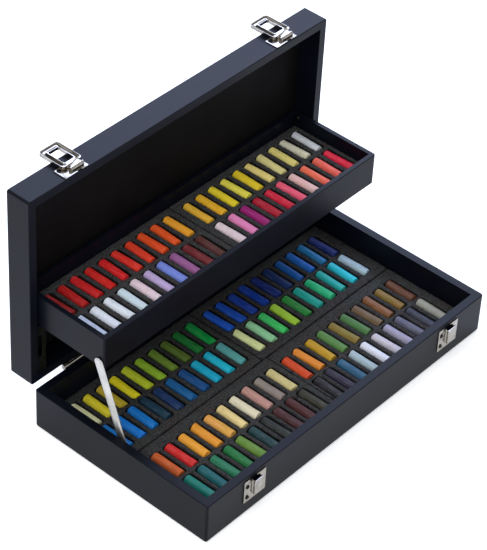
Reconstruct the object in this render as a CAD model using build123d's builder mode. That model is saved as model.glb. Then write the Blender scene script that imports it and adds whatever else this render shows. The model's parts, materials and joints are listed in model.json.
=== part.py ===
from build123d import *
from math import hypot
import os

# A flat black box for half-stick pastels, shown open. The lid stands upright on two hinges.
# A tray is pinned to the lid near its rear corners and is held level by one steel arm on the
# left, so it rises out of the box as the lid opens. Two loop latches close the front.
# X is to the right, Y to the rear, Z up, and the origin is the middle of the underside.

# ---- Case: the lower box and the lid ----
case_width = 400.0
case_depth = 215.4
base_height = 45.4
lid_height = 27.8
wall = 8.8
floor_thickness = 3.6
lid_panel_thickness = 3.0
panel_lap = 4.4
panel_play = 0.1
corner_radius = 2.5
rim_radius = 0.8
base_edge_radius = 2.0
lid_edge_radius = 1.5

# ---- Lid hinges: the axis lies behind the rear faces, just under the rims ----
hinge_setback = 3.0
hinge_drop = 0.9
rim_play = 0.3
hinge_inset = 59.0
hinge_length = 38.0
leaf_reach = 14.0
leaf_thickness = 1.0
knuckle_radius = 2.5
knuckle_count = 5
hinge_pin_radius = 1.1
running_fit = 0.05
side_play = 0.3

# ---- Tray, in its raised place ----
tray_side_gap = 2.4
tray_to_panel = 2.4
tray_to_front = 13.5
tray_depth = 104.4
tray_height = 35.3
tray_wall = 4.9
tray_floor = 3.0
tray_lap = 2.4
tray_edge_radius = 1.0

# ---- Tray linkage ----
pivot_from_rear = 8.4
pivot_below_rim = 4.5
pivot_pin_radius = 2.0
pivot_head_radius = 3.2
pivot_head_height = 1.7
pivot_grip = 5.5
arm_head_from_front = 6.0
arm_head_above_bottom = 5.7
arm_foot_drop = 4.4
arm_width = 9.4
arm_thickness = 1.2
arm_pin_radius = 2.0
arm_disc_radius = 3.3
arm_disc_height = 0.3

# ---- Tray stop: the upright strip in the lid's left corner ----
stop_left_gap = 1.2
stop_head_width = 9.6
stop_neck_width = 4.6
stop_low_lobe = 20.0
stop_high_lobe = 11.6
stop_foot_reach = 14.0
stop_head_reach = 8.0
stop_thickness = 1.2
stop_inset = 0.3

# ---- Foam pads and pastels ----
base_foam_drop = 26.2
tray_foam_drop = 14.6
pad_play = 0.2
pad_seam_y = 2.6
slot_columns = 10
slot_to_wall = 20.05
slot_row_pitch = 40.0
tray_row_pitch = 41.2
tray_rows_back = 1.0
tray_right_shift = 1.8
slot_width = 12.6
slot_length = 36.0
slot_depth = 7.4
seam_to_slot = 13.2
front_seam_shift = 6.0
front_left_shift = 6.4
front_right_shift = 2.6
pastel_diameter = 10.5
pastel_length = 33.0
rest_play = 0.1

# ---- Loop latches ----
left_loop_inset = 64.2
right_loop_inset = 54.4
latch_plate_offset = -3.5
latch_plate_width = 28.5
latch_plate_depth = 15.0
latch_plate_inset = 0.9
latch_thickness = 1.0
latch_notch = 5.0
latch_pivot_inset = 5.4
latch_pivot_height = 3.3
latch_pin_radius = 0.9
latch_ear_width = 1.6
loop_neck_width = 12.0
loop_width = 23.6
loop_rail_start = 4.6
loop_reach = 36.2
loop_window_width = 12.6
loop_window_start = 8.8
loop_hook = 29.4
loop_window_corner = 1.5
loop_under = 2.0
loop_over = 1.4
loop_corner = 3.0
loop_groove_width = 1.9
loop_groove_depth = 0.9
catch_offset = -1.5
catch_width = 29.0
catch_height = 26.0
catch_bottom = 15.2
catch_notch_width = 9.3
catch_notch_depth = 2.6
catch_notch_offset = -3.9
keeper_width = 11.0
keeper_projection = 4.8
keeper_height = 16.0
keeper_skin = 1.2
keeper_play = 0.4

# ---- Fasteners ----
screw_head_radius = 2.2
screw_head_height = 0.6
screw_shank_radius = 1.1
screw_length = 6.5

# ---- Places worked out from the sizes above ----
half_width = case_width / 2
half_depth = case_depth / 2
inner_half_width = half_width - wall
inner_half_depth = half_depth - wall
hinge_y = half_depth + hinge_setback
hinge_z = base_height - hinge_drop
lid_rim_y = hinge_y + hinge_drop + rim_play
lid_back_y = lid_rim_y + lid_height
lid_bottom_z = hinge_z + hinge_setback
lid_top_z = lid_bottom_z + case_depth
tray_half_width = inner_half_width - tray_side_gap
tray_rear_y = lid_back_y - lid_panel_thickness - tray_to_panel
tray_front_y = tray_rear_y - tray_depth
tray_mid_y = tray_front_y + tray_depth / 2

# The tray stays level, so closing the lid only shifts it. The shift takes the rear pivot a
# quarter turn about the lid's hinge, down to the tray's place behind the base's front board.
pivot_y = tray_rear_y - pivot_from_rear
shut_pivot_y = -inner_half_depth + tray_to_front + tray_depth - pivot_from_rear
pivot_z = hinge_z + hinge_y - shut_pivot_y
tray_top_z = pivot_z + pivot_below_rim
tray_bottom_z = tray_top_z - tray_height
shift_y = shut_pivot_y - pivot_y
shift_z = hinge_z + (pivot_y - hinge_y) - pivot_z

# The arm's head is on the tray. Its foot is on the base's left board, where the raised and the
# lowered head are equally far from it.
arm_head_y = tray_front_y + arm_head_from_front
arm_head_z = tray_bottom_z + arm_head_above_bottom
arm_foot_z = base_height - arm_foot_drop
arm_foot_y = arm_head_y + shift_y / 2 + (arm_head_z + shift_z / 2 - arm_foot_z) * shift_z / shift_y
arm_length = hypot(arm_head_y - arm_foot_y, arm_head_z - arm_foot_z)

# Where the latches and the hinges sit along the boards.
hinge_x = half_width - hinge_inset
loop_centres = {"left": left_loop_inset - half_width, "right": half_width - right_loop_inset}

base_plane = Plane.XY
lid_plane = Plane(origin=(0, lid_back_y, (lid_bottom_z + lid_top_z) / 2), x_dir=(1, 0, 0), z_dir=(0, -1, 0))
tray_plane = Plane(origin=(0, tray_mid_y, tray_bottom_z), x_dir=(1, 0, 0), z_dir=(0, 0, 1))


os.makedirs("parts", exist_ok=True)


def save(piece, name):
    """Label a finished piece and write it."""
    piece.part.label = name
    export_step(piece.part, "parts/" + name + ".step")


# ---- Boards ----
def mitred_board(plane, width, depth, height, thickness, panel, lap, outward, foot_radius, bores=()):
    """One board of a four-sided frame that stands on a plane, with mitred ends.

    outward is the board's outer direction in the plane. The panel is let in by lap at the plane.
    """
    across, along = outward
    inner_x = width / 2 - 2 * thickness
    inner_y = depth / 2 - 2 * thickness
    outer_x = width / 2 + thickness
    outer_y = depth / 2 + thickness
    with BuildPart() as board:
        with BuildSketch(plane):
            RectangleRounded(width, depth, corner_radius)
            Rectangle(width - 2 * thickness, depth - 2 * thickness, mode=Mode.SUBTRACT)
        extrude(amount=height)
        upward = Axis(plane.origin, plane.z_dir)
        fillet(board.faces().sort_by(upward)[-1].outer_wire().edges(), rim_radius)
        fillet(board.faces().sort_by(upward)[0].outer_wire().edges(), foot_radius)
        with BuildSketch(plane):
            Rectangle(width - 2 * (thickness - lap), depth - 2 * (thickness - lap))
        extrude(amount=panel, mode=Mode.SUBTRACT)
        with BuildSketch(plane):
            with BuildLine():
                if along:
                    Polyline(
                        (-outer_x, along * outer_y),
                        (outer_x, along * outer_y),
                        (inner_x, along * inner_y),
                        (-inner_x, along * inner_y),
                        close=True,
                    )
                else:
                    Polyline(
                        (across * outer_x, -outer_y),
                        (across * outer_x, outer_y),
                        (across * inner_x, inner_y),
                        (across * inner_x, -inner_y),
                        close=True,
                    )
            make_face()
        extrude(amount=2 * height, both=True, mode=Mode.INTERSECT)
        for bore_plane, bore_radius, bore_depth in bores:
            with BuildSketch(bore_plane):
                Circle(bore_radius)
            extrude(amount=-bore_depth, mode=Mode.SUBTRACT)
    return board


def let_in_panel(plane, width, depth, thickness, lap, panel):
    """The flat panel that closes a frame of boards, let into their edges."""
    with BuildPart() as sheet:
        with BuildSketch(plane):
            Rectangle(
                width - 2 * (thickness - lap + panel_play),
                depth - 2 * (thickness - lap + panel_play),
            )
        extrude(amount=panel)
    return sheet


def side_plane(x, y, z, sign):
    """A plane square to X through a place, looking along sign."""
    return Plane(origin=(x, y, z), x_dir=(0, 1, 0), z_dir=(sign, 0, 0))


def screw_bores(planes):
    """A pilot hole under each screw's head."""
    return [(plane, screw_shank_radius + running_fit, screw_length + side_play) for plane in planes]


base_sides = {"front": (0, -1), "rear": (0, 1), "left": (-1, 0), "right": (1, 0)}
lid_sides = {"front": (0, 1), "rear": (0, -1), "left": (-1, 0), "right": (1, 0)}

# Where the fasteners sit: each plane lies on the face under a head and looks outwards.
leaf_face = hinge_setback - leaf_thickness
hinge_screw_x = [side * hinge_x + end * hinge_length * 0.3 for side in (-1, 1) for end in (-1, 1)]
base_screw_planes = [
    Plane(origin=(x, hinge_y - leaf_face, hinge_z - leaf_reach * 0.64), z_dir=(0, 1, 0)) for x in hinge_screw_x
]
lid_screw_planes = [
    Plane(origin=(x, hinge_y + leaf_reach * 0.64, hinge_z + leaf_face), z_dir=(0, 0, -1)) for x in hinge_screw_x
]
stop_x = -inner_half_width + stop_left_gap
stop_front_y = lid_rim_y + stop_inset
stop_foot_z = lid_bottom_z + wall
stop_screw_plane = Plane(
    origin=(stop_x + stop_head_width / 2, stop_front_y + stop_foot_reach * 0.6, stop_foot_z + stop_thickness),
    z_dir=(0, 0, 1),
)
latch_plate_y = lid_rim_y + latch_plate_inset + latch_plate_depth / 2
latch_screw_offset = latch_plate_offset - latch_plate_width / 2 + 1.5 * screw_head_radius
latch_screw_y = latch_plate_y + latch_plate_depth / 2 - 1.4 * screw_head_radius
latch_screw_planes = [
    Plane(origin=(x + latch_screw_offset, latch_screw_y, lid_top_z + latch_thickness), z_dir=(0, 0, 1))
    for x in loop_centres.values()
]
catch_middle_z = catch_bottom + catch_height / 2
catch_screw_offset = catch_offset - catch_width / 2 + 2 * screw_head_radius
catch_screw_planes = [
    Plane(origin=(x + catch_screw_offset, -half_depth - latch_thickness, z), z_dir=(0, -1, 0))
    for x in loop_centres.values()
    for z in (catch_middle_z - catch_height * 0.3, catch_middle_z + catch_height * 0.2)
]
foot_plane = side_plane(-inner_half_width, arm_foot_y, arm_foot_z, 1)
pin_hole = pivot_pin_radius + running_fit
base_bores = {
    "front": screw_bores(catch_screw_planes),
    "rear": screw_bores(base_screw_planes),
    "left": [(foot_plane, arm_pin_radius + running_fit, pivot_grip + side_play)],
    "right": [],
}
lid_bores = {
    "front": screw_bores(latch_screw_planes),
    "rear": screw_bores(lid_screw_planes) + screw_bores([stop_screw_plane]),
    "left": [(side_plane(-inner_half_width, pivot_y, pivot_z, 1), pin_hole, pivot_grip + side_play)],
    "right": [(side_plane(inner_half_width, pivot_y, pivot_z, -1), pin_hole, pivot_grip + side_play)],
}
tray_bores = {
    "front": [],
    "rear": [],
    "left": [(side_plane(-tray_half_width, pivot_y, pivot_z, -1), pin_hole, tray_wall)],
    "right": [(side_plane(tray_half_width, pivot_y, pivot_z, 1), pin_hole, tray_wall)],
}

for side, outward in base_sides.items():
    base_board = mitred_board(
        base_plane, case_width, case_depth, base_height, wall,
        floor_thickness, panel_lap, outward, base_edge_radius, base_bores[side],
    )
    save(base_board, "base_" + side + "_wall")
base_floor = let_in_panel(base_plane, case_width, case_depth, wall, panel_lap, floor_thickness)
save(base_floor, "base_bottom_panel")

for side, outward in lid_sides.items():
    lid_board = mitred_board(
        lid_plane, case_width, case_depth, lid_height, wall,
        lid_panel_thickness, panel_lap, outward, lid_edge_radius, lid_bores[side],
    )
    save(lid_board, "lid_" + side + "_wall")
lid_panel = let_in_panel(lid_plane, case_width, case_depth, wall, panel_lap, lid_panel_thickness)
save(lid_panel, "lid_panel")

for side, outward in base_sides.items():
    tray_board = mitred_board(
        tray_plane, 2 * tray_half_width, tray_depth, tray_height, tray_wall,
        tray_floor, tray_lap, outward, tray_edge_radius, tray_bores[side],
    )
    save(tray_board, "tray_" + side + "_wall")
tray_bottom = let_in_panel(tray_plane, 2 * tray_half_width, tray_depth, tray_wall, tray_lap, tray_floor)
save(tray_bottom, "tray_bottom_panel")


# ---- Foam pads with a slot for each pastel ----
def slot_places(first_x, middle_y, row_pitch, rows=(-1, 1)):
    """The middles of a pad's slots, row by row from the front and from the left."""
    return [
        (first_x + column * slot_pitch, middle_y + row * row_pitch / 2)
        for row in rows
        for column in range(slot_columns)
    ]


def foam_pad(x_low, x_high, y_low, y_high, z_low, z_high, places):
    """A foam pad with rows of slots sunk into its top."""
    with BuildPart() as pad:
        with BuildSketch(Plane.XY.offset(z_low)):
            with Locations(((x_low + x_high) / 2, (y_low + y_high) / 2)):
                Rectangle(x_high - x_low - 2 * pad_play, y_high - y_low - 2 * pad_play)
        extrude(amount=z_high - z_low)
        with BuildSketch(Plane.XY.offset(z_high)):
            with Locations(*places):
                Rectangle(slot_width, slot_length)
        extrude(amount=-slot_depth, mode=Mode.SUBTRACT)
    return pad


base_foam_top = base_height - base_foam_drop
tray_foam_top = tray_top_z - tray_foam_drop
slot_span = inner_half_width - seam_to_slot - slot_to_wall
slot_pitch = slot_span / (slot_columns - 1)
left_first = -seam_to_slot - slot_span
right_first = seam_to_slot

base_pads = {
    "rear_left": (-inner_half_width, 0, pad_seam_y, inner_half_depth, left_first),
    "rear_right": (0, inner_half_width, pad_seam_y, inner_half_depth, right_first),
    "front_left": (
        -inner_half_width, front_seam_shift, -inner_half_depth, pad_seam_y, left_first + front_left_shift,
    ),
    "front_right": (
        front_seam_shift, inner_half_width, -inner_half_depth, pad_seam_y, right_first + front_right_shift,
    ),
}
for pad_name, (x_low, x_high, y_low, y_high, first_x) in base_pads.items():
    base_pad = foam_pad(
        x_low, x_high, y_low, y_high, floor_thickness, base_foam_top,
        slot_places(first_x, (y_low + y_high) / 2, slot_row_pitch),
    )
    save(base_pad, "base_foam_" + pad_name)

tray_inner_half_width = tray_half_width - tray_wall
tray_pads = {
    "left": (-tray_inner_half_width, 0, left_first),
    "right": (0, tray_inner_half_width, right_first + tray_right_shift),
}
tray_rows_y = tray_mid_y + tray_rows_back
for pad_name, (x_low, x_high, first_x) in tray_pads.items():
    tray_pad = foam_pad(
        x_low, x_high, tray_front_y + tray_wall, tray_rear_y - tray_wall,
        tray_bottom_z + tray_floor, tray_foam_top, slot_places(first_x, tray_rows_y, tray_row_pitch),
    )
    save(tray_pad, "tray_foam_" + pad_name)


# ---- Pastels: one row across the box is one group of separate sticks ----
def pastel_row(places, foam_top):
    """A row of half sticks that lie in their slots, each with one bevelled end."""
    axis_z = foam_top - slot_depth + rest_play + pastel_diameter / 2
    with BuildPart() as row:
        for x, y in places:
            with BuildSketch(Plane(origin=(x, y - pastel_length / 2, axis_z), z_dir=(0, 1, 0))):
                Circle(pastel_diameter / 2)
            extrude(amount=pastel_length)
    return row


for number, (pad_row, side_of_pad) in enumerate((("rear", 1), ("rear", -1), ("front", 1), ("front", -1)), 1):
    row_places = []
    for half in ("left", "right"):
        x_low, x_high, y_low, y_high, first_x = base_pads[pad_row + "_" + half]
        row_places += slot_places(first_x, (y_low + y_high) / 2, slot_row_pitch, (side_of_pad,))
    save(pastel_row(row_places, base_foam_top), "pastels_base_row_" + str(number))

for row_name, side_of_pad in (("rear", 1), ("front", -1)):
    row_places = []
    for x_low, x_high, first_x in tray_pads.values():
        row_places += slot_places(first_x, tray_rows_y, tray_row_pitch, (side_of_pad,))
    save(pastel_row(row_places, tray_foam_top), "pastels_tray_" + row_name)


# ---- Hinges ----
knuckle_length = hinge_length / knuckle_count
knuckle_offsets = [(index - (knuckle_count - 1) / 2) * knuckle_length for index in range(knuckle_count)]


def hinge_leaf(plane, own, other):
    """A leaf with its knuckles. The plane is square to the pin at the hinge's middle, with its
    x along the leaf and its y towards the face that carries it."""
    with BuildPart() as leaf:
        with BuildSketch(plane):
            with Locations((leaf_reach / 2, hinge_setback - leaf_thickness / 2)):
                Rectangle(leaf_reach, leaf_thickness)
        extrude(amount=hinge_length / 2, both=True)
        for offset in other:
            with BuildSketch(plane.offset(offset)):
                Circle(knuckle_radius + side_play)
            extrude(amount=knuckle_length / 2, both=True, mode=Mode.SUBTRACT)
        for offset in own:
            with BuildSketch(plane.offset(offset)):
                Circle(knuckle_radius)
            extrude(amount=knuckle_length / 2 - side_play / 2, both=True)
        with BuildSketch(plane):
            Circle(hinge_pin_radius + running_fit)
        extrude(amount=hinge_length, both=True, mode=Mode.SUBTRACT)
        for end in (-1, 1):
            hole_plane = Plane(
                origin=plane.from_local_coords((leaf_reach * 0.64, 0, end * hinge_length * 0.3)),
                x_dir=plane.z_dir,
                z_dir=plane.y_dir,
            )
            with BuildSketch(hole_plane):
                Circle(screw_shank_radius + running_fit)
            extrude(amount=2 * hinge_setback, mode=Mode.SUBTRACT)
    return leaf


def screw_group(planes):
    """Pan-head screws. Each plane lies on the face under the head and looks outwards."""
    with BuildPart() as screws:
        for plane in planes:
            with BuildSketch(plane):
                Circle(screw_head_radius)
            extrude(amount=screw_head_height, taper=20)
            with BuildSketch(plane):
                Circle(screw_shank_radius)
            extrude(amount=-screw_length)
    return screws


hinge_centres = {"left": -hinge_x, "right": hinge_x}
for side, centre_x in hinge_centres.items():
    base_leaf_plane = Plane(origin=(centre_x, hinge_y, hinge_z), x_dir=(0, 0, -1), z_dir=(-1, 0, 0))
    lid_leaf_plane = Plane(origin=(centre_x, hinge_y, hinge_z), x_dir=(0, 1, 0), z_dir=(1, 0, 0))
    save(hinge_leaf(base_leaf_plane, knuckle_offsets[::2], knuckle_offsets[1::2]), "hinge_base_leaf_" + side)
    save(hinge_leaf(lid_leaf_plane, knuckle_offsets[1::2], knuckle_offsets[::2]), "hinge_lid_leaf_" + side)
    with BuildPart() as hinge_pin:
        with BuildSketch(base_leaf_plane):
            Circle(hinge_pin_radius)
        extrude(amount=hinge_length / 2, both=True)
    save(hinge_pin, "hinge_pin_" + side)
save(screw_group(base_screw_planes), "hinge_base_screws")
save(screw_group(lid_screw_planes), "hinge_lid_screws")


# ---- Tray linkage: rear pivots, steel arm and its two pins ----
def side_disc(x, y, z, radius, amount):
    """A round step square to X, extruded from x by amount."""
    with BuildSketch(Plane(origin=(x, y, z), x_dir=(0, 1, 0), z_dir=(1, 0, 0))) as disc:
        Circle(radius)
    extrude(disc.sketch, amount=amount)


for side, sign in (("left", -1), ("right", 1)):
    head_x = sign * (tray_inner_half_width - side_play)
    with BuildPart() as tray_pivot:
        side_disc(head_x, pivot_y, pivot_z, pivot_pin_radius, sign * (side_play + tray_wall + tray_side_gap + pivot_grip))
        side_disc(head_x, pivot_y, pivot_z, pivot_head_radius, -sign * pivot_head_height)
        domed = tray_pivot.faces().sort_by(Axis.X)[-1 if sign < 0 else 0]
        fillet(domed.edges(), pivot_head_height * 0.8)
    save(tray_pivot, "tray_pivot_" + side)

arm_outer_x = -inner_half_width + (tray_side_gap - arm_thickness) / 2
arm_plane = Plane(
    origin=(arm_outer_x, arm_foot_y, arm_foot_z),
    x_dir=(0, arm_head_y - arm_foot_y, arm_head_z - arm_foot_z),
    z_dir=(1, 0, 0),
)
with BuildPart() as tray_arm:
    with BuildSketch(arm_plane):
        with Locations((arm_length / 2, 0)):
            SlotCenterToCenter(arm_length, arm_width)
        with Locations((0, 0), (arm_length, 0)):
            Circle(arm_pin_radius + running_fit, mode=Mode.SUBTRACT)
    extrude(amount=arm_thickness)
save(tray_arm, "tray_arm")

with BuildPart() as arm_foot_pin:
    side_disc(-inner_half_width, arm_foot_y, arm_foot_z, arm_pin_radius, -pivot_grip)
    side_disc(-inner_half_width, arm_foot_y, arm_foot_z, arm_disc_radius, arm_outer_x + inner_half_width - running_fit)
    side_disc(
        -inner_half_width, arm_foot_y, arm_foot_z, arm_pin_radius,
        arm_outer_x + inner_half_width + arm_thickness + arm_disc_height,
    )
    side_disc(
        arm_outer_x + arm_thickness + running_fit, arm_foot_y, arm_foot_z,
        arm_disc_radius, arm_disc_height - running_fit,
    )
save(arm_foot_pin, "arm_foot_pin")

with BuildPart() as arm_head_rivet:
    side_disc(arm_outer_x, arm_head_y, arm_head_z, arm_disc_radius, -arm_disc_height)
    side_disc(arm_outer_x, arm_head_y, arm_head_z, arm_pin_radius, arm_thickness)
    side_disc(arm_outer_x + arm_thickness, arm_head_y, arm_head_z, arm_disc_radius, arm_disc_height)
save(arm_head_rivet, "arm_head_rivet")

# ---- Tray stop: a bent strip that stands on the lid's rear wall, under the tray's left wall ----
stop_top_z = tray_bottom_z - side_play
stop_height = stop_top_z - stop_foot_z
with BuildPart() as tray_stop:
    with BuildSketch(Plane(origin=(stop_x, stop_front_y, stop_foot_z), x_dir=(1, 0, 0), z_dir=(0, -1, 0))):
        with Locations((stop_head_width / 2, stop_height / 2)):
            Rectangle(stop_head_width, stop_height)
        neck_gap = stop_head_width - stop_neck_width
        with Locations((neck_gap / 2, (stop_height + stop_low_lobe - stop_high_lobe) / 2)):
            Rectangle(neck_gap, stop_height - stop_low_lobe - stop_high_lobe, mode=Mode.SUBTRACT)
    extrude(amount=-stop_thickness)
    with BuildSketch(Plane.XY.offset(stop_foot_z)):
        with Locations((stop_x + stop_head_width / 2, stop_front_y + stop_foot_reach / 2)):
            Rectangle(stop_head_width, stop_foot_reach)
        with Locations((stop_x + stop_head_width / 2, stop_front_y + stop_foot_reach * 0.6)):
            Circle(screw_shank_radius + running_fit, mode=Mode.SUBTRACT)
    extrude(amount=stop_thickness)
    with BuildSketch(Plane.XY.offset(stop_top_z)):
        with Locations((stop_x + stop_head_width / 2, stop_front_y + stop_head_reach / 2)):
            Rectangle(stop_head_width, stop_head_reach)
    extrude(amount=-stop_thickness)
    neck_corners = tray_stop.edges().filter_by(Axis.Y).group_by(Axis.X)[1]
    fillet(neck_corners, stop_neck_width * 0.4)
save(tray_stop, "tray_stop")
save(screw_group([stop_screw_plane]), "tray_stop_screw")

# ---- Loop latches ----
latch_pivot_y = lid_rim_y + latch_pivot_inset
latch_pivot_z = lid_top_z + latch_pivot_height
rail_middle = (loop_width + loop_window_width) / 4

# The keeper is the box on the catch that the loop's far bar hooks under. Its underside is set
# from the loop's pivot with the lid shut.
closed_pivot_z = hinge_z + latch_pivot_y - hinge_y
keeper_bottom = closed_pivot_z - loop_hook + keeper_play
for side, loop_x in loop_centres.items():
    plate_x = loop_x + latch_plate_offset
    pin_plane = Plane(origin=(loop_x, latch_pivot_y, latch_pivot_z), x_dir=(0, 1, 0), z_dir=(1, 0, 0))
    ear_middle = loop_neck_width / 2 + side_play + latch_ear_width / 2

    with BuildPart() as latch_plate:
        with BuildSketch(Plane.XY.offset(lid_top_z)):
            with Locations((plate_x, latch_plate_y)):
                RectangleRounded(latch_plate_width, latch_plate_depth, latch_thickness)
            with Locations((loop_x + latch_screw_offset, latch_screw_y)):
                Circle(screw_shank_radius + running_fit, mode=Mode.SUBTRACT)
            with Locations((loop_x, latch_plate_y - latch_plate_depth / 2)):
                Rectangle(latch_notch, 2 * latch_thickness, mode=Mode.SUBTRACT)
        extrude(amount=latch_thickness)
        for half in (-1, 1):
            with BuildSketch(pin_plane.offset(half * ear_middle)):
                Circle(loop_under)
                with Locations((0, -latch_pivot_height / 2)):
                    Rectangle(2 * loop_under, latch_pivot_height)
            extrude(amount=latch_ear_width / 2, both=True)
        with BuildSketch(pin_plane):
            Circle(latch_pin_radius + running_fit)
        extrude(amount=loop_width, both=True, mode=Mode.SUBTRACT)
    save(latch_plate, "latch_plate_" + side)

    with BuildPart() as latch_pin:
        with BuildSketch(pin_plane):
            Circle(latch_pin_radius)
        extrude(amount=ear_middle + latch_ear_width / 2, both=True)
    save(latch_pin, "latch_pin_" + side)

    loop_plane = Plane(origin=(loop_x, latch_pivot_y, latch_pivot_z))
    with BuildPart() as latch_loop:
        with BuildSketch(loop_plane.offset(-loop_under)):
            with Locations((0, (loop_rail_start + loop_reach) / 2)):
                RectangleRounded(loop_width, loop_reach - loop_rail_start, loop_corner)
            with Locations((0, (loop_window_start + loop_hook) / 2)):
                RectangleRounded(
                    loop_window_width, loop_hook - loop_window_start, loop_window_corner, mode=Mode.SUBTRACT
                )
        extrude(amount=loop_under + loop_over)
        with BuildSketch(loop_plane.offset(loop_over)):
            for half in (-1, 1):
                with Locations((half * rail_middle, (loop_rail_start + loop_reach) / 2)):
                    Rectangle(loop_groove_width, loop_reach - loop_rail_start - 2 * loop_corner)
        extrude(amount=-loop_groove_depth, mode=Mode.SUBTRACT)
        with BuildSketch(pin_plane):
            Circle(loop_under)
            with Locations((loop_rail_start / 2, 0)):
                Rectangle(loop_rail_start, 2 * loop_under)
        extrude(amount=loop_neck_width / 2, both=True)
        with BuildSketch(pin_plane):
            Circle(latch_pin_radius + running_fit)
        extrude(amount=loop_width, both=True, mode=Mode.SUBTRACT)
    save(latch_loop, "latch_loop_" + side)

    catch_plane = Plane(origin=(loop_x, -half_depth, 0), x_dir=(1, 0, 0), z_dir=(0, -1, 0))
    with BuildPart() as latch_catch:
        with BuildSketch(catch_plane):
            with Locations((catch_offset, catch_middle_z)):
                RectangleRounded(catch_width, catch_height, latch_thickness)
            with Locations((catch_notch_offset, catch_bottom + catch_height)):
                Rectangle(catch_notch_width, 2 * catch_notch_depth, mode=Mode.SUBTRACT)
            with Locations(
                (catch_screw_offset, catch_middle_z - catch_height * 0.3),
                (catch_screw_offset, catch_middle_z + catch_height * 0.2),
            ):
                Circle(screw_shank_radius + running_fit, mode=Mode.SUBTRACT)
        extrude(amount=latch_thickness)
        with BuildSketch(catch_plane):
            with Locations((0, keeper_bottom + keeper_height / 2)):
                Rectangle(keeper_width, keeper_height)
        extrude(amount=keeper_projection)
        keeper_front = latch_catch.faces().sort_by(Axis.Y)[0]
        fillet(keeper_front.edges().filter_by(Axis.Z), latch_thickness)
        with BuildSketch(catch_plane):
            with Locations((0, keeper_bottom + keeper_skin + keeper_height / 2)):
                Rectangle(keeper_width - 2 * keeper_skin, keeper_height)
        extrude(amount=keeper_projection - keeper_skin, mode=Mode.SUBTRACT)
    save(latch_catch, "latch_catch_" + side)
save(screw_group(latch_screw_planes), "latch_plate_screws")
save(screw_group(catch_screw_planes), "latch_catch_screws")
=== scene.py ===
import bpy
import bmesh
import json
import random
from math import cos, pi, radians, sin
from mathutils import Matrix, Vector, noise

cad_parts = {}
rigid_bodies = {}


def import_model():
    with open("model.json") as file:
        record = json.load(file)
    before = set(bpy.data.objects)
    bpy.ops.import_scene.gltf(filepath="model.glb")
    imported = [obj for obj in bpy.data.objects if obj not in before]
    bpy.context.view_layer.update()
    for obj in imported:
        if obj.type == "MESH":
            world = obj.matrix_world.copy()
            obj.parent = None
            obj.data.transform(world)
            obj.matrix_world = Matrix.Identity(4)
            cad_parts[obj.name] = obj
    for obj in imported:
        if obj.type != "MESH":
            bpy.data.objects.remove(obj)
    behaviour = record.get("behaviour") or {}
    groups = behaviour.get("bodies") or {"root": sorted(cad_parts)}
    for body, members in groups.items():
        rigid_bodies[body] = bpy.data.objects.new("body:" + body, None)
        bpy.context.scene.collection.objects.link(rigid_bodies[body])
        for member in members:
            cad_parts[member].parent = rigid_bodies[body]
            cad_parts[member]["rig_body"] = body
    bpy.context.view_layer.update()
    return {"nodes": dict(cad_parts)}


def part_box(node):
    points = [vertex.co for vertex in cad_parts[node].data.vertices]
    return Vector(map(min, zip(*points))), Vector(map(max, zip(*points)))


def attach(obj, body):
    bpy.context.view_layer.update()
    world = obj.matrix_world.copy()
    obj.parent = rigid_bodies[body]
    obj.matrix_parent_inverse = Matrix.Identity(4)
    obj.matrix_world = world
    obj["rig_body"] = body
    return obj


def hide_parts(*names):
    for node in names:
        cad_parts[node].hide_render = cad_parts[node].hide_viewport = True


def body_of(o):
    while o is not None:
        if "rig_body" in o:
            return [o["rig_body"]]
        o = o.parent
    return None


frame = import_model()
nodes = frame["nodes"]
scene = bpy.context.scene
scene.view_settings.view_transform = "Standard"

# ---- Camera ----
# A long lens on a tripod in front of the case and to its left, well above it, so that the base,
# the raised tray and the inside of the lid all show.
camera_turn = radians(-50.56)
camera_rise = radians(40.56)
camera_roll = radians(3.43)
camera_place = Vector((-1.3, -1.0373, 1.5488))
camera_reach = cos(camera_rise)
camera_back = Vector(
    (sin(camera_turn) * camera_reach, -cos(camera_turn) * camera_reach, sin(camera_rise))
)
camera_side = Vector((cos(camera_turn), sin(camera_turn), 0))
camera_up = camera_back.cross(camera_side)
camera_right = cos(camera_roll) * camera_side + sin(camera_roll) * camera_up
camera_top = -sin(camera_roll) * camera_side + cos(camera_roll) * camera_up
camera_data = bpy.data.cameras.new("camera")
camera_data.lens = 154.7
camera_data.sensor_width = 36
camera_data.clip_end = 20
camera = bpy.data.objects.new("camera", camera_data)
scene.collection.objects.link(camera)
camera_axes = Matrix((camera_right, camera_top, camera_back)).transposed()
camera.matrix_world = Matrix.Translation(camera_place) @ camera_axes.to_4x4()
scene.camera = camera

# ---- Studio ----
# The case stands on a plain white table in a white room. Large soft boxes light it from above and
# from the left, and a bluish one behind it cools the top edges. The shadow is faint and soft.


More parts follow.
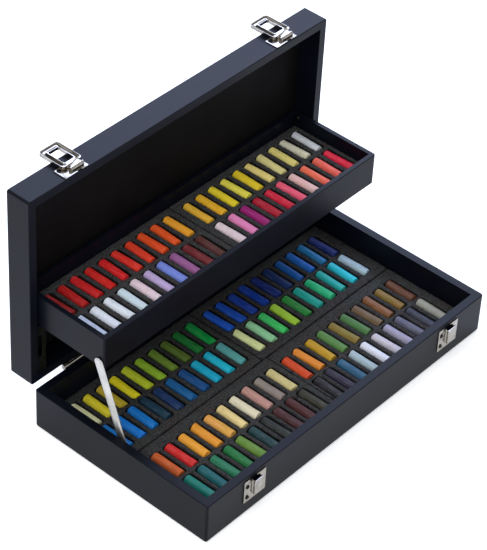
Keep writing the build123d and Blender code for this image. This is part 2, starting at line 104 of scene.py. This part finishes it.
class Wire:
    """One socket of a finish or of the room. Sums on it add Math nodes, node() adds any other."""

    def __init__(self, tree, socket=None):
        self.tree = tree
        self.socket = socket

    def feed(self, target, value):
        """Gives a socket its value, or links it."""
        if isinstance(value, Wire):
            self.tree.links.new(value.socket, target)
        else:
            target.default_value = value

    def node(self, kind, settings, sockets, output=0):
        """Adds a node with these settings, and these values or links for its sockets."""
        made = self.tree.nodes.new("ShaderNode" + kind)
        for name, value in settings.items():
            if name == "stops":
                elements = made.color_ramp.elements
                while len(elements) < len(value):
                    elements.new(1.0)
                for element, (place, colour) in zip(elements, value):
                    element.position = place
                    element.color = (*colour, 1.0)
            else:
                setattr(made, name, value)
        for name, value in sockets.items():
            self.feed(made.inputs[name], value)
        return Wire(self.tree, made.outputs[output])

    def maths(self, operation, first, second):
        return self.node("Math", {"operation": operation}, {0: first, 1: second})

    def __add__(self, other):
        return self.maths("ADD", self, other)

    def __radd__(self, other):
        return self.maths("ADD", other, self)

    def __sub__(self, other):
        return self.maths("SUBTRACT", self, other)

    def __rsub__(self, other):
        return self.maths("SUBTRACT", other, self)

    def __mul__(self, other):
        return self.maths("MULTIPLY", self, other)

    def __rmul__(self, other):
        return self.maths("MULTIPLY", other, self)

    def place(self):
        """The place on the object, in metres."""
        return self.node("TexCoord", {}, {}, "Object")

    def grains(self, size, detail=3.0, roughness=0.55, stretch=(1, 1, 1)):
        """Cloudy noise with grains of about this size in metres, drawn out along the axes."""
        shrink = tuple(1 / value for value in stretch)
        place = self.node("Mapping", {}, {"Vector": self.place(), "Scale": shrink})
        sockets = {"Vector": place, "Scale": 1 / size, "Detail": detail, "Roughness": roughness}
        return self.node("TexNoise", {}, sockets, "Fac")

    def ramp(self, stops):
        """This value through a ramp of stops."""
        return self.node("ValToRGB", {"stops": stops}, {"Fac": self}, "Color")

    def blend(self, first, second):
        """A colour between two, by this value. A Mix node's colours are sockets 6 and 7, output 2."""
        return self.node("Mix", {"data_type": "RGBA"}, {0: self, 6: first, 7: second}, 2)

    def darken(self, other):
        """This colour multiplied by another."""
        multiply = {"data_type": "RGBA", "blend_type": "MULTIPLY"}
        return self.node("Mix", multiply, {0: 1.0, 6: self, 7: other}, 2)

    def bump(self, distance, strength):
        """A normal from this height."""
        return self.node("Bump", {}, {"Height": self, "Distance": distance, "Strength": strength})


def new_finish(name, surface):
    """A material whose surface() gives the values of its shader's sockets."""
    finish = bpy.data.materials.new(name)
    finish.use_nodes = True
    shader = finish.node_tree.nodes["Principled BSDF"]
    start = Wire(finish.node_tree)
    for socket, value in surface(start).items():
        start.feed(shader.inputs[socket], value)
    return finish


def linear(red, green, blue):
    """A colour listed as 0 to 255, made linear."""
    channels = [value / 255 for value in (red, green, blue)]
    return tuple(v / 12.92 if v <= 0.04045 else ((v + 0.055) / 1.055) ** 2.4 for v in channels)


def deselect():
    """Nothing is selected, and the last piece is out of edit mode."""
    if bpy.context.object and bpy.context.object.mode != "OBJECT":
        bpy.ops.object.mode_set(mode="OBJECT")
    bpy.ops.object.select_all(action="DESELECT")


table_width = 8.0
table_drop = 0.0005
deselect()
bpy.ops.mesh.primitive_plane_add(size=table_width, location=(0, 0, -table_drop))
floor = bpy.context.object
floor.name = "floor"


def white_table(wire):
    mottle = wire.grains(0.05, detail=2.0)
    white = mottle.ramp([(0.3, linear(246, 246, 247)), (0.7, linear(249, 249, 249))])
    return {"Base Color": white, "Roughness": 0.9, "Emission Color": white, "Emission Strength": 0.36}


floor.data.materials.append(new_finish("white_table", white_table))

world = bpy.data.worlds.new("white_room")
scene.world = world
world.use_nodes = True
room = Wire(world.node_tree)
background = world.node_tree.nodes["Background"]
room_light = (0.92, 0.96, 1.0, 1)
room_strength = 0.7
plain_white = (1, 1, 1, 1)
# the camera, the metal and anything clear see plain white, and the case is lit by the room light
seen = room.node("LightPath", {}, {}, "Is Camera Ray")
for ray in ("Is Glossy Ray", "Is Transmission Ray"):
    seen = seen.maths("MAXIMUM", seen, room.node("LightPath", {}, {}, ray))
room.feed(background.inputs["Color"], seen.blend(room_light, plain_white))
room.feed(background.inputs["Strength"], seen * (1 - room_strength) + room_strength)
case_middle = Vector((0, 0, 0.1))


def soft_box(name, place, size, power, colour):
    """A rectangular area lamp that looks at the middle of the case."""
    lamp = bpy.data.lights.new(name, "AREA")
    lamp.shape = "RECTANGLE"
    lamp.size = size[0]
    lamp.size_y = size[1]
    lamp.energy = power
    lamp.color = colour
    holder = bpy.data.objects.new(name, lamp)
    scene.collection.objects.link(holder)
    holder.location = place
    holder.rotation_euler = (case_middle - Vector(place)).to_track_quat("-Z", "Y").to_euler()


soft_box("top_box", (-0.5, 0.1, 1.9), size=(1.3, 1.2), power=14, colour=(0.97, 0.98, 1.0))
soft_box("left_box", (-1.5, -0.7, 1.2), size=(0.9, 0.9), power=10, colour=(1.0, 0.99, 0.97))
soft_box("back_box", (1.35, 1.1, 1.5), size=(1.5, 1.3), power=44, colour=(0.55, 0.66, 1.0))

# ---- Case boards and panels ----
# The base, the lid and the tray are frames of mitred boards with a thin panel let in. All of
# them are sprayed satin black, with a faint orange peel. Inside the lid the panel is matt.


def satin_black(wire):
    peel = wire.grains(0.0035, detail=2.0)
    cloud = wire.grains(0.06, detail=2.0)
    return {
        "Base Color": cloud.ramp([(0.35, linear(8, 10, 17)), (0.7, linear(13, 15, 25))]),
        "Roughness": cloud * 0.08 + peel * 0.05 + 0.31,
        "Specular IOR Level": 0.085,
        "Normal": peel.bump(0.0001, 0.25),
    }


def matt_black(wire):
    cloud = wire.grains(0.05, detail=3.0)
    return {
        "Base Color": cloud.ramp([(0.35, linear(9, 8, 9)), (0.7, linear(15, 14, 15))]),
        "Roughness": 0.7,
        "Specular IOR Level": 0.06,
        "Normal": wire.grains(0.002, detail=2.0).bump(0.00008, 0.2),
    }


black_paint = new_finish("satin_black_paint", satin_black)
black_lining = new_finish("matt_black_lining", matt_black)
for name, node in nodes.items():
    if name.endswith(("_wall", "_panel")):
        node.data.materials.clear()
        node.data.materials.append(black_paint)
merge_distance = 0.00001


def choose(*pieces):
    """Only these pieces are selected, and the first is active."""
    deselect()
    for piece in pieces:
        piece.select_set(True)
    bpy.context.view_layer.objects.active = pieces[0]


def own_copy(node_name):
    """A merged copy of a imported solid, alone in the selection, to be worked on."""
    made = bpy.data.objects.new("finished_" + node_name, nodes[node_name].data.copy())
    scene.collection.objects.link(made)
    choose(made)
    bpy.ops.object.mode_set(mode="EDIT")
    bpy.ops.mesh.select_all(action="SELECT")
    bpy.ops.mesh.remove_doubles(threshold=merge_distance)
    bpy.ops.object.mode_set(mode="OBJECT")
    return made


def stand_in(made, node_name, slot, *finishes):
    """A finished piece takes the place of the solid it was worked from, on the same body."""
    made.data.materials.clear()
    for finish in finishes:
        made.data.materials.append(finish)
    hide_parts(node_name)
    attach(made, body_of(nodes[node_name])[0])


# the open lid shows the panel's outside to the rear, and that side alone is satin
panel = own_copy("lid_panel")
stand_in(panel, "lid_panel", "black_paint", black_paint, black_lining)
for face in panel.data.polygons:
    face.material_index = int(face.normal.y < 0.5)

# ---- Foam pads ----
# Charcoal open-cell foam, cut to fit the frames, with a slot for each pastel. Painted shade makes
# the slots darker inside, and chalk dust lies on the open top in faint patches.
foam_cell = 0.003
foam_skin = 0.0013
pit_depth = 0.0009
# painted shade: the foam's colour darkens from this depth below its top, over the next distance
painted_shade_below_top = 0.0022
painted_shade_fades_over = 0.002


def charcoal_foam(wire, top):
    cells = wire.grains(0.0012, detail=4.0, roughness=0.7)
    patches = wire.grains(0.02, detail=3.0)
    dark = cells.ramp(
        [(0.32, linear(17, 17, 19)), (0.5, linear(42, 42, 44)), (0.7, linear(104, 101, 97))]
    )
    dust = patches.ramp(
        [(0.35, linear(62, 52, 48)), (0.5, linear(60, 60, 64)), (0.66, linear(54, 62, 58))]
    )
    dusty = wire.grains(0.006, detail=2.0).ramp([(0.42, (0, 0, 0)), (0.7, (0.8, 0.8, 0.8))])
    height = wire.node("SeparateXYZ", {}, {"Vector": wire.place()}, "Z")
    # painted shade in the slots: below the top the colour is darkened to about an eighth
    painted_shade_fade = (height - (top - painted_shade_below_top)) * (1 / painted_shade_fades_over)
    painted_slot_shade = painted_shade_fade.ramp([(0.0, (0.12, 0.12, 0.12)), (1.0, (1, 1, 1))])
    return {
        "Base Color": dusty.blend(dark, dust).darken(painted_slot_shade),
        "Roughness": 0.95,
        "Specular IOR Level": 0.12,
        "Normal": cells.bump(0.0006, 0.8),
    }


foam_pits = bpy.data.textures.new("foam_pits", "CLOUDS")
foam_pits.noise_scale = foam_cell
foam_pits.noise_depth = 2
for body in ("base", "tray"):
    pad_names = [name for name in nodes if name.startswith(body + "_foam")]
    foam_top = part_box(pad_names[0])[1].z
    foam = new_finish("charcoal_foam_" + body, lambda wire: charcoal_foam(wire, foam_top))
    for name in pad_names:
        pad = own_copy(name)
        skin = pad.modifiers.new("skin", "REMESH")
        skin.mode = "VOXEL"
        skin.voxel_size = foam_skin
        softened = pad.modifiers.new("softened", "SMOOTH")
        softened.factor = 0.5
        softened.iterations = 3
        pitted = pad.modifiers.new("pitted", "DISPLACE")
        pitted.texture = foam_pits
        pitted.texture_coords = "LOCAL"
        pitted.strength = pit_depth
        pitted.mid_level = 0.55
        for modifier in ("skin", "softened", "pitted"):
            bpy.ops.object.modifier_apply(modifier=modifier)
        bpy.ops.object.shade_smooth()
        stand_in(pad, name, "foam", foam)

# ---- Hinges ----
# Two butt hinges join the lid to the base. They are pressed steel, nickel plated and polished,
# with leaves rolled round a pin. Screws with a cross recess hold them to the boards.


def polished_nickel(wire):
    smear = wire.grains(0.004, detail=3.0)
    return {
        "Base Color": smear.ramp([(0.3, linear(126, 121, 114)), (0.7, linear(162, 157, 149))]),
        "Metallic": 1.0,
        "Roughness": smear * 0.16 + 0.12,
        "Normal": wire.grains(0.0025, detail=1.0).bump(0.00006, 0.35),
    }


nickel = new_finish("polished_nickel", polished_nickel)
recess_width = 0.0006
recess_depth = 0.0005
recess_share = 0.55
fitting_smooth_angle = radians(35)


def screw_ends(piece, axis, sign):
    """The outer end of each screw in a piece: its middle, and how wide its head is."""
    shell = bmesh.new()
    shell.from_mesh(piece.data)
    seen_points = set()
    ends = []
    for start in shell.verts:
        if start.index in seen_points:
            continue
        seen_points.add(start.index)
        island = [start]
        for point in island:
            for edge in point.link_edges:
                other = edge.other_vert(point)
                if other.index not in seen_points:
                    seen_points.add(other.index)
                    island.append(other)
        low = [min(point.co[k] for point in island) for k in range(3)]
        high = [max(point.co[k] for point in island) for k in range(3)]
        middle = [(a + b) / 2 for a, b in zip(low, high)]
        middle[axis] = high[axis] if sign > 0 else low[axis]
        ends.append((middle, min(b - a for k, (a, b) in enumerate(zip(low, high)) if k != axis)))
    shell.free()
    return ends


def block(middle, size):
    """A plain box to cut with, already applied."""
    deselect()
    bpy.ops.mesh.primitive_cube_add(size=1, location=middle)
    made = bpy.context.object
    made.scale = size
    bpy.ops.object.transform_apply(location=True, rotation=True, scale=True)
    return made


def cut_away(piece, cutter):
    """Takes the cutter's volume out of a piece."""
    cut = piece.modifiers.new("cut", "BOOLEAN")
    cut.operation = "DIFFERENCE"
    cut.solver = "EXACT"
    cut.object = cutter
    choose(piece)
    bpy.ops.object.modifier_apply(modifier="cut")
    bpy.data.objects.remove(cutter)


def cross_recesses(piece, axis, sign):
    """Cuts a cross into each screw's head. The heads face along an axis, or back along it."""
    ends = screw_ends(piece, axis, sign)
    for long_axis in [k for k in range(3) if k != axis]:
        bars = []
        for middle, width in ends:
            size = [recess_width] * 3
            size[axis] = 2 * recess_depth
            size[long_axis] = recess_share * width
            bars.append(block(middle, size))
        choose(*bars)
        bpy.ops.object.join()
        cut_away(piece, bars[0])


# the axis that the screw heads face along, and which way
hinge_screw_heads = {"hinge_base_screws": (1, 1), "hinge_lid_screws": (2, -1)}
for name in [key for key in nodes if key.startswith("hinge")]:
    fitting = own_copy(name)
    if name in hinge_screw_heads:
        cross_recesses(fitting, *hinge_screw_heads[name])
    bpy.ops.object.shade_smooth_by_angle(angle=fitting_smooth_angle)
    stand_in(fitting, name, "plated_steel", nickel)

# ---- Tray pivots, arm and stop ----
# The tray turns on two blackened pins in the lid's side boards. A flat bar of bright steel holds
# it level on the left, between a foot pin and a rivet. A steel strip in the lid stops it; its
# dark finish is painted shade.


def bright_steel(wire):
    brushed = wire.grains(0.0006, detail=3.0, stretch=(1, 30, 30))
    return {
        "Base Color": brushed.ramp([(0.3, linear(168, 167, 164)), (0.7, linear(200, 199, 196))]),
        "Metallic": 1.0,
        "Roughness": brushed * 0.15 + 0.24,
        "Normal": brushed.bump(0.00003, 0.3),
    }


# blackened for the pins; on the stop strip the same dark finish is painted shade
def blackened_and_shaded_steel(wire):
    worn = wire.grains(0.002, detail=3.0)
    return {
        "Base Color": worn.ramp([(0.35, linear(22, 22, 24)), (0.75, linear(60, 60, 63))]),
        "Metallic": 1.0,
        "Roughness": worn * 0.2 + 0.3,
    }


bright = new_finish("bright_steel", bright_steel)
blackened_and_shaded = new_finish("blackened_and_shaded_steel", blackened_and_shaded_steel)
eased_edge = 0.0002
sharp_angle = radians(40)
sliver = 0.000004


def ease_edges(piece, width):
    """Rounds the sharp edges of a fitting, and merges what that leaves too small to see."""
    eased = piece.modifiers.new("eased", "BEVEL")
    eased.width = width
    eased.segments = 2
    eased.limit_method = "ANGLE"
    eased.angle_limit = sharp_angle
    bpy.ops.object.modifier_apply(modifier="eased")
    bpy.ops.object.mode_set(mode="EDIT")
    bpy.ops.mesh.select_all(action="SELECT")
    bpy.ops.mesh.dissolve_degenerate(threshold=sliver)
    bpy.ops.mesh.remove_doubles(threshold=sliver)
    bpy.ops.object.mode_set(mode="OBJECT")


tray_fittings = (
    ("tray_pivot", "plated_steel", blackened_and_shaded),
    ("arm_", "bright_steel", bright),
    ("tray_arm", "bright_steel", bright),
    # the stop sits in the lid's shadow, and its dark finish is painted shade
    ("tray_stop", "dark_steel", blackened_and_shaded),
)
for start, slot, finish in tray_fittings:
    for name in [key for key in nodes if key.startswith(start)]:
        fitting = own_copy(name)
        ease_edges(fitting, eased_edge)
        bpy.ops.object.shade_smooth_by_angle(angle=fitting_smooth_angle)
        stand_in(fitting, name, slot, finish)

# ---- Latches and catches ----
# Two loop latches on the lid hook over catches on the base, all of nickel-plated steel. Each loop
# turns on a pin through its plate's ears, with a channel rolled into its rails and far bar. The
# screws are a much darker nickel.


# a much darker nickel, for the latch screws
def dark_nickel(wire):
    smear = wire.grains(0.003, detail=3.0)
    return {
        "Base Color": smear.ramp([(0.3, linear(12, 10, 9)), (0.7, linear(30, 25, 22))]),
        "Metallic": 1.0,
        "Roughness": smear * 0.2 + 0.3,
    }


dark_screw_nickel = new_finish("dark_nickel", dark_nickel)
eased_screw_edge = 0.00015
channel_depth = 0.0019
rail_offset = 0.00905
rail_channel_width = 0.0039
rail_channel_start = 0.0012
rail_channel_end = 0.0285
far_bar_channel_width = 0.017
far_bar_channel_start = 0.001
far_bar_channel_end = 0.0048
far_bar_deeper = 0.0001
cut_above = 0.001


def roll_channel(loop, corner, middle_x, width, start, end, depth):
    """Sinks a channel into a loop's top, from start to end as measured from its far edge."""
    middle = (middle_x, corner.y - (start + end) / 2, corner.z + (cut_above - depth) / 2)
    cut_away(loop, block(middle, (width, end - start, depth + cut_above)))


def roll_loop(loop, node_name):
    """The two rails and the far bar of a loop get their channels."""
    low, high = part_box(node_name)
    centre = (low.x + high.x) / 2
    rails = (rail_channel_width, rail_channel_start, rail_channel_end, channel_depth)
    for rail in (centre - rail_offset, centre + rail_offset):
        roll_channel(loop, high, rail, *rails)
    far_bar = (far_bar_channel_width, far_bar_channel_start, far_bar_channel_end)
    roll_channel(loop, high, centre, *far_bar, channel_depth + far_bar_deeper)


latch_screw_heads = {"latch_catch_screws": (1, -1), "latch_plate_screws": (2, 1)}
for name in [key for key in nodes if key.startswith("latch")]:
    fitting = own_copy(name)
    is_screws = name in latch_screw_heads
    if is_screws:
        cross_recesses(fitting, *latch_screw_heads[name])
    elif name.startswith("latch_loop"):
        roll_loop(fitting, name)
    ease_edges(fitting, eased_screw_edge if is_screws else eased_edge)
    bpy.ops.object.shade_smooth_by_angle(angle=fitting_smooth_angle)
    stand_in(fitting, name, "plated_steel", dark_screw_nickel if is_screws else nickel)

# ---- Pastels ----
# Half sticks of soft pastel, each pressed round and broken in two, so one end is moulded and
# the other is a rough break. Every stick has its own colour and lies loose in its slot.
stick_colours = {
    "pastels_tray_rear": [
        (140, 22, 24), (175, 22, 24), (190, 24, 24), (200, 26, 24), (208, 30, 24),
        (215, 38, 26), (218, 50, 26), (222, 66, 26), (222, 84, 28), (235, 158, 40),
        (232, 172, 58), (236, 170, 34), (230, 204, 36), (228, 212, 74), (232, 206, 38),
        (226, 208, 118), (222, 216, 146), (224, 212, 116), (214, 208, 172), (206, 208, 212),
    ],
    "pastels_tray_front": [
        (185, 203, 232), (214, 218, 228), (218, 222, 230), (196, 220, 226), (214, 204, 212),
        (184, 166, 206), (104, 132, 214), (134, 84, 134), (96, 26, 34), (76, 26, 32),
        (216, 198, 204), (214, 122, 172), (142, 18, 102), (166, 16, 46), (196, 20, 52),
        (216, 80, 108), (226, 168, 164), (222, 94, 76), (222, 96, 74), (206, 22, 52),
    ],
    "pastels_base_row_1": [
        (238, 240, 186), (240, 224, 50), (212, 180, 48), (250, 240, 36), (216, 224, 50),
        (152, 200, 56), (122, 154, 46), (84, 122, 40), (22, 122, 46), (0, 158, 70),
        (16, 94, 204), (14, 80, 190), (14, 64, 166), (14, 60, 152), (14, 42, 112),
        (20, 50, 110), (22, 92, 165), (25, 98, 190), (20, 118, 165), (22, 44, 110),
    ],
    "pastels_base_row_2": [
        (5, 122, 205), (5, 126, 208), (5, 116, 195), (8, 40, 76), (12, 52, 90),
        (8, 96, 150), (10, 72, 128), (10, 165, 200), (20, 180, 212), (82, 155, 165),
        (215, 225, 165), (150, 215, 160), (60, 190, 105), (165, 205, 60), (40, 125, 60),
        (20, 165, 150), (30, 185, 120), (25, 165, 155), (30, 185, 200), (170, 200, 200),
    ],
    "pastels_base_row_3": [
        (196, 86, 36), (200, 36, 34), (226, 152, 40), (216, 150, 38), (220, 150, 78),
        (222, 200, 134), (226, 206, 178), (180, 134, 126), (132, 114, 112), (194, 178, 124),
        (196, 72, 28), (206, 124, 34), (182, 142, 32), (84, 124, 66), (126, 98, 36),
        (72, 106, 66), (98, 70, 50), (122, 80, 40), (112, 98, 36), (88, 50, 26),
    ],
    "pastels_base_row_4": [
        (8, 120, 100), (6, 88, 92), (18, 108, 72), (24, 106, 56), (96, 130, 46),
        (8, 52, 56), (16, 20, 28), (52, 16, 18), (60, 18, 18), (40, 34, 18),
        (20, 20, 22), (30, 28, 48), (26, 86, 116), (158, 176, 188), (214, 216, 220),
        (180, 180, 200), (146, 146, 172), (80, 80, 102), (40, 46, 58), (150, 152, 136),
    ],
}
stick_radius = 0.00525
stick_length = 0.0352
stick_sides = 28
pressed_in = 0.0015
variant_count = 7
ring_shares = (-0.42, -0.3, -0.15, 0.0, 0.15, 0.3, 0.42)
moulded_inset = 0.0009
broken_inset = 0.0012
end_step = 0.0003
end_zone = 0.95
taper_zone = 0.9
moulded_round = 0.0008
break_depth = 0.0003
break_roughness = 0.0009
break_grain = 190
break_slant = 0.12
swelling = 0.03
swelling_grain = 90
end_taper = 0.3
bend = 0.0002


def mould_stick(seed):
    """One half stick along Y at the origin, with a moulded end and a broken end."""
    deselect()
    bpy.ops.mesh.primitive_cylinder_add(
        vertices=stick_sides,
        radius=stick_radius,
        depth=stick_length,
        end_fill_type="NGON",
        rotation=(pi / 2, 0, 0),
    )
    stick = bpy.context.object
    bpy.ops.object.transform_apply(location=True, rotation=True, scale=True)
    bpy.ops.object.mode_set(mode="EDIT")
    for share in ring_shares:
        bpy.ops.mesh.select_all(action="SELECT")
        bpy.ops.mesh.bisect(plane_co=(0, share * stick_length, 0), plane_no=(0, 1, 0))
    for end, inset in ((1, moulded_inset), (-1, broken_inset)):
        shell = bmesh.from_edit_mesh(stick.data)
        for face in shell.faces:
            face.select_set(face.normal.y * end > 0.9)
        bmesh.update_edit_mesh(stick.data)
        bpy.ops.mesh.inset(thickness=inset, depth=0.0)
        bpy.ops.mesh.inset(thickness=inset, depth=end_step)
        bpy.ops.mesh.poke()
    bpy.ops.mesh.select_all(action="DESELECT")
    bpy.ops.object.mode_set(mode="OBJECT")
    # each seed reads the noise at another place
    shift = Vector((seed * 3.7, seed * 1.9, 0.3))
    for vertex in stick.data.vertices:
        place = vertex.co
        end_share = place.y / (stick_length / 2)
        off_axis = Vector((place.x, 0, place.z))
        if end_share > end_zone:
            # moulded end: rounded over
            place.y -= moulded_round * (off_axis.length / stick_radius) ** 3
        if end_share < -end_zone:
            # broken end: a rough, slanting face
            rough = break_roughness * noise.noise(place * break_grain + shift)
            place.y += break_depth + rough + place.x * break_slant * sin(seed)
        swell = 1 + swelling * noise.noise(place * swelling_grain + shift)
        swell -= end_taper * max(0, abs(end_share) - taper_zone)
        place.x *= swell
        place.z *= swell
        place.x += bend * sin(seed) * (1 - end_share ** 2)
    deselect()
    return stick


stick_variants = [mould_stick(seed) for seed in range(1, variant_count + 1)]


def shade(red, green, blue):
    """A colour listed as 0 to 255, made linear, with full alpha."""
    return (*linear(red, green, blue), 1.0)


def chalk(wire):
    pigment = wire.node("Attribute", {"attribute_name": "pigment"}, {}, "Color")
    powder = wire.grains(0.0009, detail=4.0, roughness=0.7)
    drag = wire.grains(0.0012, detail=3.0, stretch=(1, 9, 1))
    dusty = drag.ramp([(0.5, (0, 0, 0)), (0.75, (0.06, 0.06, 0.06))])
    pores = (powder * 0.5 + drag * 0.5).ramp([(0.34, (0.66, 0.66, 0.66)), (0.5, (1, 1, 1))])
    height = powder * 0.5 + drag
    return {
        "Base Color": dusty.blend(pigment, shade(236, 232, 226)).darken(pores),
        "Roughness": 0.55,
        "Specular IOR Level": 0.32,
        "Normal": height.bump(0.0005, 0.7),
    }


chalk_finish = new_finish("soft_chalk", chalk)
least_gap = 0.003
seeds_per_row = 100
base_slimness = (0.93, 1.0)
tray_slimness = (0.9, 0.98)
shortest = 0.95
turned_share = 0.25
most_skew = 0.05
tone_drift = 14
tone_patches = 70
stick_smooth_angle = radians(50)
for row, (node_name, colours) in enumerate(stick_colours.items()):
    low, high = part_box(node_name)
    # the sticks lie where the row's solids are: group the solids' points by the gaps along X
    places = sorted({round(vertex.co.x, 4) for vertex in nodes[node_name].data.vertices})
    groups = [[places[0]]]
    for place in places[1:]:
        if place - groups[-1][-1] > least_gap:
            groups.append([])
        groups[-1].append(place)
    sticks = []
    for number, (group, colour) in enumerate(zip(groups, colours)):
        chance = random.Random(row * seeds_per_row + number)
        stick = stick_variants[chance.randrange(len(stick_variants))].copy()
        stick.data = stick.data.copy()
        scene.collection.objects.link(stick)
        slim = chance.uniform(*(base_slimness if "base" in node_name else tray_slimness))
        seat = low.z + slim * stick_radius - pressed_in
        middle = Vector(((group[0] + group[-1]) / 2, (low.y + high.y) / 2, seat))
        turn = Matrix.Rotation(chance.uniform(0, 2 * pi), 4, "Y")
        flip = Matrix.Rotation(pi if chance.random() < turned_share else 0, 4, "Z")
        skew = Matrix.Rotation(chance.uniform(-most_skew, most_skew), 4, "Z")
        stretch = Matrix.Diagonal((slim, chance.uniform(shortest, 1.0), slim, 1))
        stick.data.transform(Matrix.Translation(middle) @ skew @ flip @ turn @ stretch)
        pigment = stick.data.color_attributes.new("pigment", "FLOAT_COLOR", "POINT")
        second = [min(255, max(0, value + chance.uniform(-tone_drift, tone_drift))) for value in colour]
        for entry, vertex in zip(pigment.data, stick.data.vertices):
            share = 0.5 + 0.5 * noise.noise(vertex.co * tone_patches)
            entry.color = shade(*(a + (b - a) * share for a, b in zip(colour, second)))
        sticks.append(stick)
    choose(*sticks)
    bpy.ops.object.join()
    bpy.ops.object.shade_smooth_by_angle(angle=stick_smooth_angle)
    row_piece = sticks[0]
    row_piece.name = "sticks_" + node_name[len("pastels_"):]
    stand_in(row_piece, node_name, node_name, chalk_finish)
for stick in stick_variants:
    bpy.data.objects.remove(stick)
